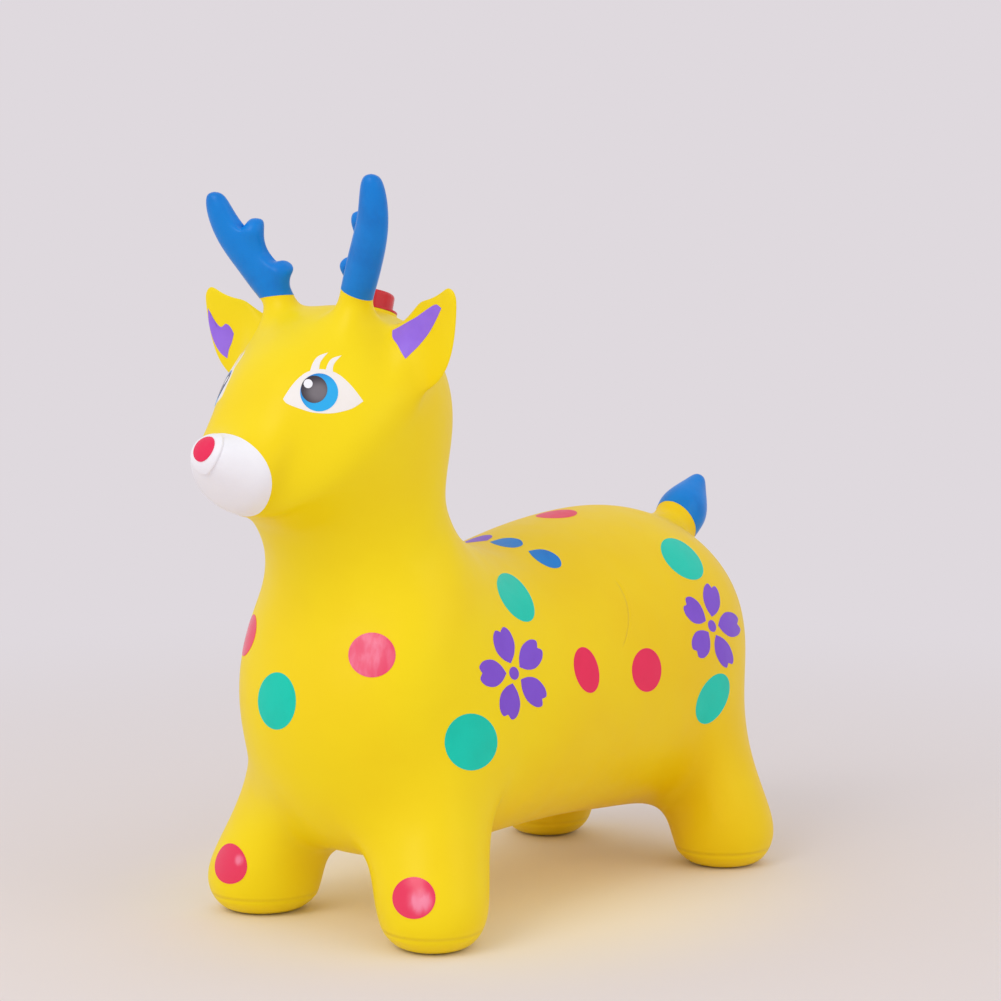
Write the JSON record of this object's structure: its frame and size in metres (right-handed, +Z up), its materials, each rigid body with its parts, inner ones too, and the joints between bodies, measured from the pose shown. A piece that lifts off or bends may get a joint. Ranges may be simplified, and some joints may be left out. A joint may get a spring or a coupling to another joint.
{
  "type": "bouncy ride-on animal",
  "caption": "Inflatable soft-vinyl ride-on deer on stub legs, with moulded ears, antlers and tail, a belly air plug and a press-button sound module in the crown.",
  "frame": {"origin": "on the floor under the middle of the overall box", "axes": "+Z up, the deer faces -Y, its left side is +X"},
  "size_m": [0.2528, 0.5526, 0.5178],
  "materials": {
    "yellow_vinyl": "satin soft vinyl, painted with blue, pink, teal, purple and white marks",
    "white_vinyl": "satin",
    "red_plastic": "semi-gloss",
    "white_plastic": "semi-gloss",
    "green_board": "solder-masked",
    "black_plastic": "moulded",
    "bright_metal": "nickel-plated",
    "grey_film": "polyester film"
  },
  "bodies": {
    "body": {"body_shell": "yellow_vinyl"},
    "plug": {"air_plug": "white_vinyl"},
    "module": {"module_housing": "red_plastic", "base_cover": "red_plastic", "circuit_board": "green_board", "tact_switch": "black_plastic", "sound_chip": "black_plastic", "shake_switch": "bright_metal", "speaker_frame": "bright_metal", "speaker_cone": "grey_film", "speaker_magnet": "bright_metal", "battery_tray": "black_plastic", "button_cell_1": "bright_metal", "button_cell_2": "bright_metal", "button_cell_3": "bright_metal", "contact_strip_upper": "bright_metal", "contact_strip_lower": "bright_metal", "contact_tab_upper": "bright_metal", "contact_tab_lower": "bright_metal", "cover_screw_1": "bright_metal", "cover_screw_2": "bright_metal", "cover_screw_3": "bright_metal"},
    "button": {"press_button": "white_plastic"}
  },
  "joints": [
    {"name": "module_lift", "type": "slide", "parent": "body", "child": "module", "axis": [0, 0.2555, 0.9668], "range_m": [0, 0.035]},
    {"name": "button_press", "type": "slide", "parent": "module", "child": "button", "axis": [0, -0.2555, -0.9668], "range_m": [0, 0.0012], "stiffness_N_per_m": 300},
    {"name": "plug_pull", "type": "slide", "parent": "body", "child": "plug", "axis": [0, 0, -1], "range_m": [0, 0.02]}
  ]
}
